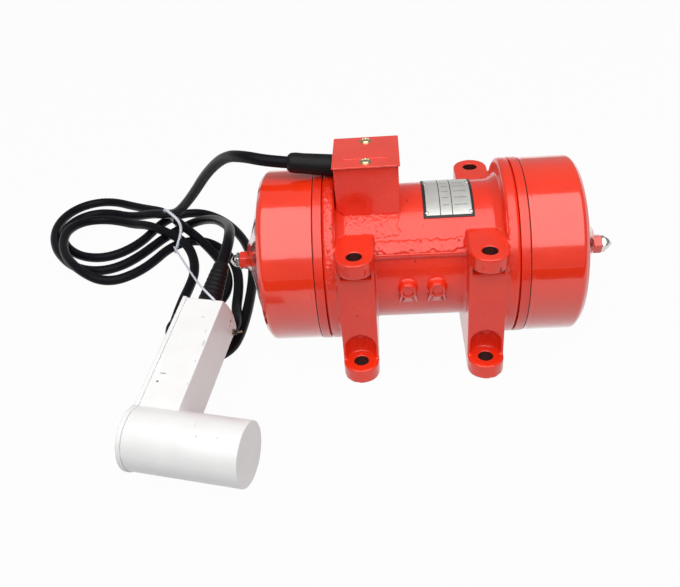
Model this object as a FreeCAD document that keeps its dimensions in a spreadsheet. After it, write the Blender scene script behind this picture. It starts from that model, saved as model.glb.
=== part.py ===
import FreeCAD, Part
import Sketcher
import math
import os
import re

from FreeCAD import Placement, Rotation, Vector

# Three-phase or single-phase vibration motor of the attached type: a cast
# frame on four feet, two drum covers over the eccentric weights, a terminal
# box, and a rubber cord to a start-capacitor case with a toggle switch.
# +X along the shaft, +Z up, origin at the centre of the foot bolt pattern
# on the plane that the feet stand on.  Millimetres.

doc = FreeCAD.newDocument("vibration_motor")
sheet = doc.addObject("Spreadsheet::Sheet", "Sizes")

SIZES = {
    # frame casting
    "axis_height": 110, "tube_radius": 82.7, "bore_radius": 72, "flange_radius": 107.6,
    "flange_outer": 111.6, "flange_inner": 96.5, "neck_start": 86, "neck_radius": 90,
    "edge_break": 3, "spigot_radius": 76, "spigot_depth": 10,
    "hole_pitch_x": 150, "hole_pitch_y": 210, "bolt_hole_radius": 8.75,
    "leg_width": 43, "leg_half_depth": 103, "lug_radius": 21.5, "foot_thick": 19,
    "ear_top": 168.7, "ear_thick": 18.5, "niche_radius": 18, "niche_height": 18,
    "leg_relief": 3, "rib_top": 151.5, "rib_thick": 6, "rib_reach": 78.5,
    "boss_radius": 10.5, "boss_reach": 92, "boss_height": 108, "boss_pitch": 34,
    "boss_offset": 1.5, "boss_bore": 5.5, "setscrew_length": 14,
    # end shields and bearings
    "shield_outer": 121.9, "shield_web": 12, "hub_radius": 46, "hub_inner": 99,
    "hub_outer": 124, "bearing_radius": 36, "bearing_bore": 15, "bearing_width": 19,
    "bearing_pitch": 25.5, "race_radius": 6.35, "ball_radius": 6, "race_gap": 4.6,
    "ball_count": 8, "cage_half_width": 7.8, "cage_half_wall": 1.3, "pocket_radius": 6.3,
    "seal_radius": 30, "seal_bore": 15.4, "seal_width": 4.6,
    # stator and rotor
    "core_half": 45, "stator_inner": 47, "winding_inner": 50, "winding_outer": 69,
    "winding_end": 67, "rotor_radius": 46.4, "shaft_body": 19, "ring_inner": 27,
    "ring_outer": 44, "ring_end": 55,
    # shaft ends and eccentric weights
    "shaft_shoulder": 98.9, "shaft_neck": 14, "shaft_end": 186, "neck_from": 124.3,
    "weight_radius": 83, "weight_hub": 27, "weight_thick": 17, "fixed_from": 130.4,
    "adjust_from": 148, "split_width": 3, "pinch_radius": 4, "pinch_height": 19.5,
    "pinch_head": 6.5, "pinch_seat": 17, "pinch_head_length": 8, "key_width": 8,
    "key_height": 4, "washer_radius": 22, "washer_thick": 3, "washer_from": 165.4,
    "nut_radius": 20, "nut_thick": 14,
    # drum covers
    "cover_radius": 106.7, "cover_wall": 2, "cover_straight": 181.8, "cover_corner": 187.8,
    "cover_corner_radius": 100.7, "crown": 208, "crown_radius": 28, "cap_face": 214,
    "cap_radius": 18, "gasket_thick": 0.8, "stud_drop": 5.5, "stud_radius": 5.9,
    "stud_hole": 6.2, "stud_head_radius": 9, "stud_head_thick": 4, "stud_tip": 233.4,
    "collar_radius": 12.5, "collar_thick": 2.5, "lock_nut_radius": 11, "lock_nut_thick": 10,
    "cap_nut_radius": 10.4, "cap_nut_hex": 4.5, "cap_nut_tip": 240.3,
    "cover_screw_circle": 93, "cover_screw_radius": 3, "cover_screw_head": 5.5,
    "cover_screw_head_thick": 3.4, "shield_bolt_circle": 90, "shield_bolt_radius": 4,
    "shield_bolt_head": 6.5, "shield_bolt_head_thick": 8,
    # terminal box
    "tbox_x": -58, "tbox_length": 74, "tbox_width": 78, "tbox_top": 243.4, "tbox_wall": 3,
    "tbox_floor": 200, "lid_length": 77.8, "lid_width": 82.8, "lid_thick": 2,
    "seal_sheet": 0.6, "lid_screw_pitch": 55, "lid_screw_radius": 2.5,
    "lid_screw_head": 5.2, "lid_screw_head_thick": 2.6, "post_radius": 5,
    "gland_height": 230, "gland_hole": 8.5, "sleeve_wide": 11.5, "sleeve_narrow": 8.9,
    "sleeve_length": 56, "block_length": 44, "block_width": 24,
    "block_thick": 10, "tstud_radius": 2.4, "tstud_length": 20, "tstud_pitch": 14,
    # nameplate
    "plate_from": 6, "plate_length": 59, "plate_thick": 0.8, "plate_start": 56,
    "plate_sweep": 62, "rivet_radius": 2.2, "rivet_thick": 1.2,
    # switch and capacitor case
    "case_radius": 35.7, "case_length": 130, "case_wall": 1.8, "arm_depth": 47,
    "arm_up": 25, "arm_down": 35, "arm_reach": 177, "arm_crown": 9, "crown_low": 13,
    "lid_rim": 1.2, "lid_depth": 5, "case_x": -316, "case_y": -243.6, "case_turn": -12.9,
    "case_tilt": 15.6, "capacitor_radius": 30, "capacitor_length": 108,
    "toggle_b": 172, "toggle_c": -30, "toggle_body_width": 10, "toggle_body_height": 6,
    "toggle_body_depth": 13, "bushing_radius": 3.1, "bushing_bore": 2.3,
    "bushing_length": 5, "toggle_nut": 4, "toggle_nut_thick": 1.6, "lever_tilt": 20,
    "lever_length": 9, "lever_ball": 2, "lever_tip": 1.5, "lever_root": 1.1,
    "case_sleeve_a": 17, "case_sleeve_c": 3, "case_sleeve_length": 67,
    "case_screw_head": 3.2, "case_screw_radius": 1.9, "case_screw_length": 12,
    # cord
    "cord_radius": 7.25,
}

for row, (alias, size) in enumerate(SIZES.items(), start=1):
    sheet.set(f"A{row}", alias)
    sheet.set(f"B{row}", str(size))
    sheet.setAlias(f"B{row}", alias)
doc.recompute()

AXIS_Z = SIZES["axis_height"]
TO_X = Rotation(Vector(0, 1, 0), 90)
TO_MINUS_Y = Rotation(Vector(1, 0, 0), 90)
TO_Y = Rotation(Vector(1, 0, 0), -90)
NO_TURN = Rotation()
HALF_ROUND = Rotation(Vector(0, 0, 1), 180)
NODES = []


def formula(text):
    """An expression in which every name of the sheet is spelled out."""
    return re.sub(r"[a-z_]+", lambda word: "Sizes." + word[0] if word[0] in SIZES else word[0], str(text))


def value(text):
    """The number that such an expression gives."""
    sheet.set("D1", f"={text}")
    sheet.recompute()
    return float(sheet.get("D1"))


def bind(thing, **sizes):
    for prop, text in sizes.items():
        thing.setExpression(prop, formula(text))
    return thing


def put(thing, x=0, y=0, z=0, turn=NO_TURN):
    thing.Placement = Placement(Vector(), turn)
    for axis, text in (("x", x), ("y", y), ("z", z)):
        thing.setExpression("Placement.Base." + axis, formula(text))
    return thing


def cylinder(radius, length, x=0, y=0, z="axis_height", turn=TO_X, name="Cylinder"):
    made = bind(doc.addObject("Part::Cylinder", name), Radius=radius, Height=length)
    return put(made, x, y, z, turn)


def cone(radius1, radius2, length, x=0, y=0, z="axis_height", turn=TO_X):
    made = bind(doc.addObject("Part::Cone", "Cone"), Radius1=radius1, Radius2=radius2, Height=length)
    return put(made, x, y, z, turn)


def block(length, width, height, x, y, z, turn=NO_TURN):
    """A box from its low corner."""
    made = bind(doc.addObject("Part::Box", "Box"), Length=length, Width=width, Height=height)
    return put(made, x, y, z, turn)


def sphere(radius, x, y, z):
    return put(bind(doc.addObject("Part::Sphere", "Sphere"), Radius=radius), x, y, z)


def hexagon(radius, length, x, y=0, z="axis_height", turn=TO_X):
    made = doc.addObject("Part::Prism", "Prism")
    made.Polygon = 6
    bind(made, Circumradius=radius, Height=length)
    return put(made, x, y, z, turn)


def fuse(*parts):
    made = doc.addObject("Part::MultiFuse", "Fuse")
    made.Shapes = list(parts)
    made.Refine = True
    return made


def cut(base, *tools):
    made = doc.addObject("Part::Cut", "Cut")
    made.Base = base
    made.Tool = tools[0] if len(tools) == 1 else fuse(*tools)
    made.Refine = True
    return made


def group(*parts):
    """Separate solids that share a node."""
    made = doc.addObject("Part::Compound", "Compound")
    made.Links = list(parts)
    return made


def node(label, thing):
    thing.Label = label
    NODES.append(thing)
    return thing


def turned(profile, x=0, y=0, z="axis_height", turn=NO_TURN):
    """A body revolved about its own X axis from a closed outline of (x, radius) corners."""
    body = doc.addObject("PartDesign::Body", "Turned")
    sketch = body.newObject("Sketcher::SketchObject", "Outline")
    plane = [p for p in body.Origin.OriginFeatures if p.Role == "XY_Plane"][0]
    sketch.AttachmentSupport = [(plane, "")]
    sketch.MapMode = "FlatFace"
    corners = [Vector(value(px), value(pr), 0) for px, pr in profile]
    count = len(corners)
    for i in range(count):
        sketch.addGeometry(Part.LineSegment(corners[i], corners[(i + 1) % count]), False)
    for i in range(count):
        sketch.addConstraint(Sketcher.Constraint("Coincident", i, 2, (i + 1) % count, 1))
    for i, (texts, corner) in enumerate(zip(profile, corners)):
        for kind, text, number, axis in zip(("DistanceX", "DistanceY"), texts, corner, (-2, -1)):
            if abs(number) < 1e-9:
                sketch.addConstraint(Sketcher.Constraint("PointOnObject", i, 1, axis))
                continue
            index = sketch.addConstraint(Sketcher.Constraint(kind, -1, 1, i, 1, number))
            sketch.setExpression(f"Constraints[{index}]", formula(text))
    spin = body.newObject("PartDesign::Revolution", "Spin")
    spin.Profile = sketch
    spin.ReferenceAxis = (sketch, ["H_Axis"])
    spin.Angle = 360
    body.Tip = spin
    return put(body, x, y, z, turn)


def both_ways(half):
    """The whole outline from its +X half, whose first and last corners lie on x = 0."""
    return [(f"-({px})", pr) for px, pr in reversed(half[1:-1])] + half


def about_shaft(thing, angle):
    """Turn a piece about the shaft line, after it has been placed at angle nought."""
    doc.recompute()
    centre = Vector(0, 0, AXIS_Z)
    base = thing.Placement.Base
    turn = Rotation(Vector(1, 0, 0), angle)
    for axis in ("x", "y", "z"):
        thing.setExpression("Placement.Base." + axis, None)
    thing.Placement = Placement(centre + turn.multVec(base - centre), turn.multiply(thing.Placement.Rotation))
    return thing


def out_at(make, circle, angle, **more):
    """A round piece along the shaft direction, set off the shaft line by a radius at an angle."""
    return make(y=f"({circle}) * cos({angle} deg)", z=f"axis_height + ({circle}) * sin({angle} deg)", **more)


def on_both_sides(label, make):
    """The same piece at the right and at the left end of the motor."""
    node(label + "_right", make())
    left = node(label + "_left", make())
    doc.recompute()
    left.Placement = Placement(Vector(), HALF_ROUND).multiply(left.Placement)


def pair(label, make):
    """Both ends' pieces in one node."""
    right, left = make(), make()
    doc.recompute()
    left.Placement = Placement(Vector(), HALF_ROUND).multiply(left.Placement)
    node(label, group(right, left))


# ---- frame casting --------------------------------------------------------
def barrel():
    """The outside of the tube with its two flanges, solid."""
    return turned(both_ways([
        (0, 0), ("flange_outer", 0), ("flange_outer", "flange_radius-edge_break"),
        ("flange_outer-edge_break", "flange_radius"), ("flange_inner+edge_break", "flange_radius"),
        ("flange_inner", "flange_radius-edge_break"), ("flange_inner", "neck_radius"),
        ("neck_start", "tube_radius"), (0, "tube_radius")]))


def lug(x, y, bottom, thick):
    """The rounded end of an ear or a foot."""
    return cylinder("lug_radius", thick, x, y, bottom, NO_TURN)


solids = [barrel()]
holes = [turned(both_ways([
    (0, 0), ("flange_outer+1", 0), ("flange_outer+1", "spigot_radius"),
    ("flange_outer-spigot_depth", "spigot_radius"), ("flange_outer-spigot_depth", "bore_radius"), (0, "bore_radius")]))]
for side in ("", "-"):
    middle = f"{side}hole_pitch_x/2"
    low = f"{middle}-leg_width/2"
    solids.append(block("leg_width", "2*leg_half_depth", "ear_top", low, "-leg_half_depth", 0))
    holes.append(block("leg_width+2", "2*leg_half_depth-46", "leg_relief", f"{low}-1", "23-leg_half_depth", 0))
    for front in ("-", ""):
        row = f"{front}hole_pitch_y/2"
        near = "-hole_pitch_y/2" if front else "hole_pitch_y/2-20"
        for bottom, thick in ((0, "foot_thick"), ("ear_top-ear_thick", "ear_thick")):
            solids.append(lug(middle, row, bottom, thick))
            solids.append(block("leg_width", 20, thick, low, near, bottom))
        holes.append(cylinder("bolt_hole_radius", "foot_thick+2", middle, row, -1, NO_TURN))
        holes.append(cylinder("bolt_hole_radius", "ear_thick+2", middle, row, "ear_top-ear_thick-1", NO_TURN))
        holes.append(cylinder("niche_radius", "niche_height", middle, row, "foot_thick", NO_TURN))
        holes.append(sphere("niche_radius", middle, row, "foot_thick+niche_height"))
        holes.append(cylinder("niche_radius", 16, middle, row, "ear_top-ear_thick-16", NO_TURN))
        for angle in (45, 135, 225, 315):
            if front:
                holes.append(out_at(cylinder, "shield_bolt_circle", angle, radius="shield_bolt_radius",
                                    length="flange_outer-100+1",
                                    x="100" if not side else "-flange_outer-1"))
solids.append(block("hole_pitch_x-leg_width/2", "2*rib_reach", "rib_thick", "-(hole_pitch_x-leg_width/2)/2",
                    "-rib_reach", "rib_top-rib_thick"))
setscrews = []
for x in ("boss_offset-boss_pitch/2", "boss_offset+boss_pitch/2"):
    solids.append(cylinder("boss_radius", 30, x, "30-boss_reach", "boss_height", TO_MINUS_Y))
    holes.append(cylinder("boss_bore", "boss_reach-bore_radius+5", x, "5-bore_radius", "boss_height", TO_MINUS_Y))
    setscrews.append(cylinder("boss_bore", "setscrew_length", x, "-bore_radius-1", "boss_height", TO_MINUS_Y))
holes.append(cylinder(12, 40, "tbox_x", 0, "axis_height+60", NO_TURN))
node("stator_frame", cut(fuse(*solids), *holes))
node("stator_set_screws", group(*setscrews))


# ---- end shields, their bolts and the seals -------------------------------
def end_shield():
    disc = turned([
        ("hub_inner", "bearing_radius"), ("hub_inner+20", "bearing_radius"), ("hub_inner+20", "seal_radius"),
        ("hub_outer", "seal_radius"), ("hub_outer", "hub_radius"), ("shield_web+106", "hub_radius+4"),
        ("shield_web+106", 80), ("shield_outer", 82), ("shield_outer", "flange_radius-0.8"),
        ("shield_outer-0.8", "flange_radius"), ("flange_outer", "flange_radius"),
        ("flange_outer", "spigot_radius"), ("flange_outer-spigot_depth", "spigot_radius"),
        ("flange_outer-spigot_depth", 69), (106, 65), (106, "hub_radius"), ("hub_inner", "hub_radius")])
    bores = [out_at(cylinder, "shield_bolt_circle", a, radius="shield_bolt_radius", length=16, x=110)
             for a in (45, 135, 225, 315)]
    bores += [out_at(cylinder, "cover_screw_circle", a, radius="cover_screw_radius", length=14, x=112)
              for a in (30, 150, 270)]
    return cut(disc, *bores)


def shield_bolts():
    bolts = []
    for angle in (45, 135, 225, 315):
        shank = out_at(cylinder, "shield_bolt_circle", angle, radius="shield_bolt_radius",
                       length="shield_outer-100", x=100)
        head = out_at(cylinder, "shield_bolt_circle", angle, radius="shield_bolt_head",
                      length="shield_bolt_head_thick", x="shield_outer")
        bolts.append(fuse(shank, head))
    return group(*bolts)


def tube(inner, outer, start, length):
    """A plain ring about the shaft line."""
    return turned([(start, inner), (start, outer), (f"{start}+{length}", outer), (f"{start}+{length}", inner)])


on_both_sides("end_shield", end_shield)
on_both_sides("shield_bolts", shield_bolts)
on_both_sides("shaft_seal", lambda: tube("seal_bore", "seal_radius", "hub_inner+20.2", "seal_width"))


# ---- bearings ---------------------------------------------------------------
def balls(radius):
    return [out_at(sphere_at, "bearing_pitch", 360 / SIZES["ball_count"] * i, radius=radius)
            for i in range(SIZES["ball_count"])]


def sphere_at(radius, y, z):
    return sphere(radius, "hub_inner+1+bearing_width/2", y, z)


def race(inner, outer):
    """A bearing ring with the groove that the balls run in."""
    groove = doc.addObject("Part::Torus", "Groove")
    bind(groove, Radius1="bearing_pitch", Radius2="race_radius")
    put(groove, "hub_inner+1+bearing_width/2", 0, "axis_height", TO_X)
    return cut(tube(inner, outer, "hub_inner+1", "bearing_width"), groove)


def cage():
    ring = tube("bearing_pitch-cage_half_wall", "bearing_pitch+cage_half_wall",
                "hub_inner+1+bearing_width/2-cage_half_width", "2*cage_half_width")
    return cut(ring, *balls("ball_radius"))


on_both_sides("bearing_outer", lambda: race("bearing_pitch+race_gap", "bearing_radius"))
on_both_sides("bearing_inner", lambda: race("bearing_bore", "bearing_pitch-race_gap"))
on_both_sides("bearing_cage", cage)
on_both_sides("bearing_balls", lambda: group(*balls("ball_radius")))


# ---- stator, rotor and shaft ------------------------------------------------
def slots(over):
    """Twenty-four bars along the core, one for each slot, standing out past its ends."""
    bars = []
    for i in range(24):
        bar = block(f"2*core_half+2*{over}", 4, 12, f"-core_half-{over}", -2, "axis_height+52")
        bars.append(about_shaft(bar, 15 * i))
    return bars


core = tube("stator_inner", "bore_radius", "-core_half", "2*core_half")
node("stator_core", cut(core, *slots(5)))
end_turns = [tube("winding_inner", "winding_outer", start, "winding_end-core_half")
             for start in ("core_half", "-winding_end")]
node("stator_windings", fuse(*end_turns, *slots(5)))
node("rotor_core", tube("shaft_body", "rotor_radius", "-core_half", "2*core_half"))
node("rotor_cage_rings", group(*[tube("ring_inner", "ring_outer", start, "ring_end-core_half")
                                 for start in ("core_half", "-ring_end")]))

shaft = turned(both_ways([
    (0, 0), ("shaft_end", 0), ("shaft_end", "shaft_neck-1.5"), ("shaft_end-1.5", "shaft_neck"),
    ("neck_from", "shaft_neck"), ("neck_from", "bearing_bore"), ("shaft_shoulder", "bearing_bore"),
    ("shaft_shoulder", "shaft_body"), (0, "shaft_body")]))


def key(start):
    return block(15, "key_width", "key_height+2", start, "-key_width/2", "axis_height+11")


node("shaft", cut(shaft, key("fixed_from+1"), key("-fixed_from-16")))
node("weight_keys", group(key("fixed_from+1"), key("-fixed_from-16")))


# ---- eccentric weights --------------------------------------------------------
def half_disc(start, bore):
    disc = cylinder("weight_radius", "weight_thick", start)
    upper = block("weight_thick+2", "2*weight_radius+2", "weight_radius+5", f"{start}-1", "-weight_radius-1",
                  "axis_height+4")
    hub = cylinder("weight_hub", "weight_thick", start)
    return fuse(cut(disc, upper), hub), cylinder(bore, "weight_thick+2", f"{start}-1")


def fixed_weight():
    disc, bore = half_disc("fixed_from", "shaft_neck")
    return cut(disc, bore, key("fixed_from+1"))


def adjustable_weight():
    disc, bore = half_disc("adjust_from", "shaft_neck+0.06")
    lugs = block("weight_thick", "2*pinch_seat", 30, "adjust_from", "-pinch_seat", "axis_height")
    slit = block("weight_thick+2", "split_width", 60, "adjust_from-1", "-split_width/2", "axis_height")
    middle = "adjust_from+weight_thick/2"
    pinch = cylinder("pinch_radius", 60, middle, 30, "axis_height+pinch_height", TO_MINUS_Y)
    seat = cylinder("pinch_head+0.5", 14, middle, "-pinch_seat", "axis_height+pinch_height", TO_MINUS_Y)
    return cut(fuse(disc, lugs), bore, slit, pinch, seat)


def clamp_bolt():
    middle = "adjust_from+weight_thick/2"
    shank = cylinder("pinch_radius", "2*pinch_seat", middle, "pinch_seat", "axis_height+pinch_height", TO_MINUS_Y)
    head = cylinder("pinch_head", "pinch_head_length", middle, "-pinch_seat", "axis_height+pinch_height", TO_MINUS_Y)
    return fuse(shank, head)


on_both_sides("fixed_weight", fixed_weight)
on_both_sides("adjustable_weight", adjustable_weight)
on_both_sides("weight_clamp_bolt", clamp_bolt)
pair("shaft_end_washers", lambda: tube("shaft_neck", "washer_radius", "washer_from", "washer_thick"))
pair("shaft_end_nuts", lambda: cut(hexagon("nut_radius", "nut_thick", "washer_from+washer_thick"),
                                   cylinder("shaft_neck", 20, "washer_from+washer_thick-1")))


# ---- drum covers ----------------------------------------------------------------
STUD_Z = "axis_height-stud_drop"


def cover():
    shell = turned([
        ("shield_outer+gasket_thick", "cover_radius"), ("cover_straight", "cover_radius"),
        ("cover_straight+4.2", "cover_radius-1.8"), ("cover_corner", "cover_corner_radius"),
        ("crown", "crown_radius"), ("crown+1.5", "crown_radius-3"), ("cap_face", "cap_radius"), ("cap_face", 0),
        ("cap_face-cover_wall", 0), ("cap_face-cover_wall", "cap_radius-cover_wall"),
        ("crown", "cap_radius-cover_wall+0.5"), ("crown-cover_wall", "crown_radius-1"),
        ("cover_corner-cover_wall", "cover_corner_radius-0.6"), ("cover_straight", "cover_radius-cover_wall"),
        ("shield_outer+gasket_thick", "cover_radius-cover_wall")])
    pads = [out_at(cylinder, "cover_screw_circle", a, radius="cover_screw_head+0.8", length=4, x="cover_corner-0.2")
            for a in (30, 150, 270)]
    bores = [out_at(cylinder, "cover_screw_circle", a, radius="cover_screw_radius", length=12, x="cover_corner-6")
             for a in (30, 150, 270)]
    return cut(fuse(shell, *pads), *bores, cylinder("stud_radius", 10, "cap_face-5", 0, STUD_Z))


def cover_screws():
    screws = []
    for angle in (30, 150, 270):
        shank = out_at(cylinder, "cover_screw_circle", angle, radius="cover_screw_radius",
                       length="cover_corner+3.8-112", x=112)
        head = out_at(cylinder, "cover_screw_circle", angle, radius="cover_screw_head",
                      length="cover_screw_head_thick", x="cover_corner+3.8")
        screws.append(fuse(shank, head))
    return group(*screws)


def cover_stud():
    head = cylinder("stud_head_radius", "stud_head_thick", "cap_face-cover_wall-stud_head_thick", 0, STUD_Z)
    return fuse(head, cylinder("stud_radius", "stud_tip-cap_face+cover_wall", "cap_face-cover_wall", 0, STUD_Z))


def stud_nut():
    collar = cylinder("collar_radius", "collar_thick", "cap_face", 0, STUD_Z)
    nut = hexagon("lock_nut_radius", "lock_nut_thick", "cap_face+collar_thick", 0, STUD_Z)
    return cut(fuse(collar, nut), cylinder("stud_radius", 30, "cap_face-1", 0, STUD_Z))


def cap_nut():
    start = "cap_face+collar_thick+lock_nut_thick"
    nut = hexagon("cap_nut_radius", "cap_nut_hex", start, 0, STUD_Z)
    dome = cone("cap_nut_radius-1.6", 3, f"cap_nut_tip-({start})-cap_nut_hex", f"{start}+cap_nut_hex", 0, STUD_Z)
    return cut(fuse(nut, dome), cylinder("stud_radius", f"stud_tip-({start})+1", f"{start}-1", 0, STUD_Z))


on_both_sides("cover", cover)
on_both_sides("cover_gasket", lambda: tube("cover_radius-5", "cover_radius", "shield_outer", "gasket_thick"))
on_both_sides("cover_screws", cover_screws)
pair("cover_studs", cover_stud)
pair("cover_stud_nuts", stud_nut)
pair("cover_cap_nuts", cap_nut)


# ---- terminal box -----------------------------------------------------------------
def centred(length, width, height, z):
    """A block centred on the terminal box."""
    return block(length, width, height, f"tbox_x-({length})/2", f"-({width})/2", z)


def at_lid_screws(radius, length, z):
    return [cylinder(radius, length, "tbox_x", y, z, NO_TURN) for y in ("lid_screw_pitch/2", "-lid_screw_pitch/2")]


outside = centred("tbox_length", "tbox_width", "tbox_top-axis_height-40", "axis_height+40")
inside = centred("tbox_length-2*tbox_wall", "tbox_width-2*tbox_wall", 60, "tbox_floor")
posts = at_lid_screws("post_radius", "tbox_top-tbox_floor+2", "tbox_floor-2")
box = cut(outside, inside, barrel(), cylinder(12, 60, "tbox_x", 0, 160, NO_TURN),
          cylinder("gland_hole", 20, "tbox_x-tbox_length/2-10", 0, "gland_height"))
node("terminal_box", cut(fuse(box, *posts), *at_lid_screws("lid_screw_radius", 16, "tbox_top-14")))
rim = cut(centred("tbox_length", "tbox_width", "seal_sheet", "tbox_top"),
          centred("tbox_length-2*tbox_wall", "tbox_width-2*tbox_wall-14", 4, "tbox_top-1"))
node("terminal_lid_gasket", cut(rim, *at_lid_screws("lid_screw_radius", 4, "tbox_top-1")))
node("terminal_lid", cut(centred("lid_length", "lid_width", "lid_thick", "tbox_top+seal_sheet"),
                         *at_lid_screws("lid_screw_radius", 8, "tbox_top-1")))
LID_FACE = "tbox_top+seal_sheet+lid_thick"
node("terminal_lid_screws", group(*[
    fuse(shank, head) for shank, head in zip(at_lid_screws("lid_screw_radius", f"14+{LID_FACE}-tbox_top", "tbox_top-14"),
                                             at_lid_screws("lid_screw_head", "lid_screw_head_thick", LID_FACE))]))
strip = centred("block_width", "block_length", "block_thick", "tbox_floor")
studs = []
for step in (-1, 0, 1):
    studs.append(cylinder("tstud_radius", "tstud_length", "tbox_x", f"{step}*tstud_pitch", "tbox_floor+2", NO_TURN))
holes = [cylinder("tstud_radius", "block_thick", "tbox_x", f"{step}*tstud_pitch", "tbox_floor+2", NO_TURN)
         for step in (-1, 0, 1)]
node("terminal_block", cut(strip, *holes))
node("terminal_studs", group(*studs))

# ---- nameplate ----------------------------------------------------------------------
sheet_metal = []
for radius in ("tube_radius+plate_thick", "tube_radius"):
    sector = cylinder(radius, "plate_length", "plate_from")
    bind(sector, Angle="plate_sweep")
    sector.Placement = Placement(sector.Placement.Base, Rotation(Vector(1, 0, 0), 270 - SIZES["plate_start"]
                                 - SIZES["plate_sweep"]).multiply(TO_X))
    sheet_metal.append(sector)
plate = cut(*sheet_metal)
rivets = []
for x in ("plate_from+4", "plate_from+plate_length-4"):
    for angle in (90 - 29.5, 90 + 9.5):
        rivet = cylinder("rivet_radius", "plate_thick+rivet_thick+4", x, 0, "axis_height+tube_radius-4", NO_TURN)
        rivets.append(about_shaft(rivet, 90 - angle))
node("nameplate", cut(plate, *rivets))
doc.recompute()
heads = []
for rivet in rivets:
    heads.append(cut(rivet, barrel()))
node("nameplate_rivets", group(*heads))

# ---- cord outlet on the motor ---------------------------------------------------------
TO_CORD = Rotation(Vector(0, 1, 0), -82.4)
sleeve = cone("sleeve_wide", "sleeve_narrow", "sleeve_length", "tbox_x-tbox_length/2", 0, "gland_height", TO_CORD)
wall = block(60, 60, 60, "tbox_x-tbox_length/2", -30, 200)
neck = cylinder("gland_hole", 6, "tbox_x-tbox_length/2-2", 0, "gland_height")
node("motor_cord_sleeve", fuse(cut(sleeve, wall), neck))

# ---- switch and capacitor case -----------------------------------------------------------
CASE = Rotation(Vector(0, 0, 1), SIZES["case_turn"]).multiply(Rotation(Vector(1, 0, 0), SIZES["case_tilt"]))


def in_case(label, thing):
    """Name a piece made in the case's own axes and carry it to where the case lies."""
    put(thing, "case_x", "case_y", "case_radius+lid_rim", CASE)
    return node(label, thing)


def case_outline(start, length, inset, depth):
    """The drum with the arm on it, as a solid: inset moves every wall inwards."""
    drum = cylinder(f"case_radius-({inset})", length, start, 0, 0)
    low = f"{inset}-arm_down"
    arm = block(depth, f"arm_reach-({inset})", f"arm_up+arm_down-2*({inset})", start, 0, low)
    end_radius = (SIZES["arm_up"] + SIZES["crown_low"]) ** 2 / 2 / SIZES["arm_crown"] + SIZES["arm_crown"] / 2
    centre = f"arm_reach+arm_crown-{end_radius}"
    crown = cylinder(f"{end_radius}-({inset})", depth, start, centre, "-crown_low")
    keep = block(depth, 80, f"arm_up+arm_down-2*({inset})", start, "arm_reach-60", low)
    end = doc.addObject("Part::Common", "Crown")
    end.Base = crown
    end.Tool = keep
    return fuse(drum, arm, end)


shell = case_outline(0, "case_length", 0, "arm_depth")
hollow = case_outline(-2, "case_length-case_wall+2", "case_wall", "arm_depth-case_wall+2")
sleeve_hole = cylinder("gland_hole", 30, "case_sleeve_a", "arm_reach-10", "case_sleeve_c", TO_Y)
screw_pillars = [(0, 30.2), (24, -30), (160, 20), (120, -30)]
pillars = [cylinder(4, "case_screw_length+4", 0, b, c) for b, c in screw_pillars]
pilots = [cylinder("case_screw_radius", "case_screw_length+20", -10, b, c) for b, c in screw_pillars]
toggle_bore = cylinder("bushing_radius", 20, "arm_depth-10", "toggle_b", "toggle_c")
in_case("case_shell", cut(fuse(cut(shell, hollow), *pillars), sleeve_hole, toggle_bore, *pilots))
pilots = [cylinder("case_screw_radius", "case_screw_length+20", -10, b, c) for b, c in screw_pillars]
in_case("case_cover", cut(case_outline("-lid_depth", "lid_depth", "-lid_rim", "lid_depth"), *pilots))
in_case("case_cover_screws", group(*[
    fuse(cylinder("case_screw_radius", "case_screw_length+lid_depth", "-lid_depth", b, c),
         cylinder("case_screw_head", 2, "-lid_depth-2", b, c)) for b, c in screw_pillars]))
in_case("capacitor", group(cylinder("capacitor_radius", "capacitor_length", 18, 0,
                                  "capacitor_radius-case_radius+case_wall")))

body = block("toggle_body_depth", "toggle_body_width", "toggle_body_height",
             "arm_depth-case_wall-toggle_body_depth", "toggle_b+2.6-toggle_body_width",
             "toggle_c-toggle_body_height/2")
bushing = cylinder("bushing_radius", "bushing_length+case_wall+1", "arm_depth-case_wall-1", "toggle_b", "toggle_c")
socket = cylinder("bushing_bore", 8, "arm_depth+bushing_length-5", "toggle_b", "toggle_c")
in_case("toggle_body", cut(fuse(body, bushing), socket))
flat_nut = hexagon("toggle_nut", "toggle_nut_thick", "arm_depth", "toggle_b", "toggle_c")
clear = cylinder("bushing_radius", 8, "arm_depth-3", "toggle_b", "toggle_c")
in_case("toggle_nut", cut(flat_nut, clear))
lever = fuse(sphere("lever_ball", 0, 0, 0), cone("lever_root", "lever_tip", "lever_length", 0, 0, 0),
             sphere("lever_tip", "lever_length", 0, 0))
tilted = group(lever)
put(tilted, "arm_depth+bushing_length-2", "toggle_b", "toggle_c",
    Rotation(Vector(0, 1, 0), -SIZES["lever_tilt"]))
in_case("toggle_lever", group(tilted))

SLEEVE_WAY = Vector(-0.03, 0.995, 0.09)
sleeve = cone("sleeve_wide", "sleeve_narrow", "case_sleeve_length", "case_sleeve_a", "arm_reach+arm_crown-8",
              "case_sleeve_c", Rotation(Vector(0, 0, 1), SLEEVE_WAY))
inside = case_outline(0, "case_length", 0, "arm_depth")
neck = cylinder("gland_hole", 16, "case_sleeve_a", "arm_reach-4", "case_sleeve_c", TO_Y)
in_case("case_cord_sleeve", fuse(cut(sleeve, inside), neck))


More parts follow.
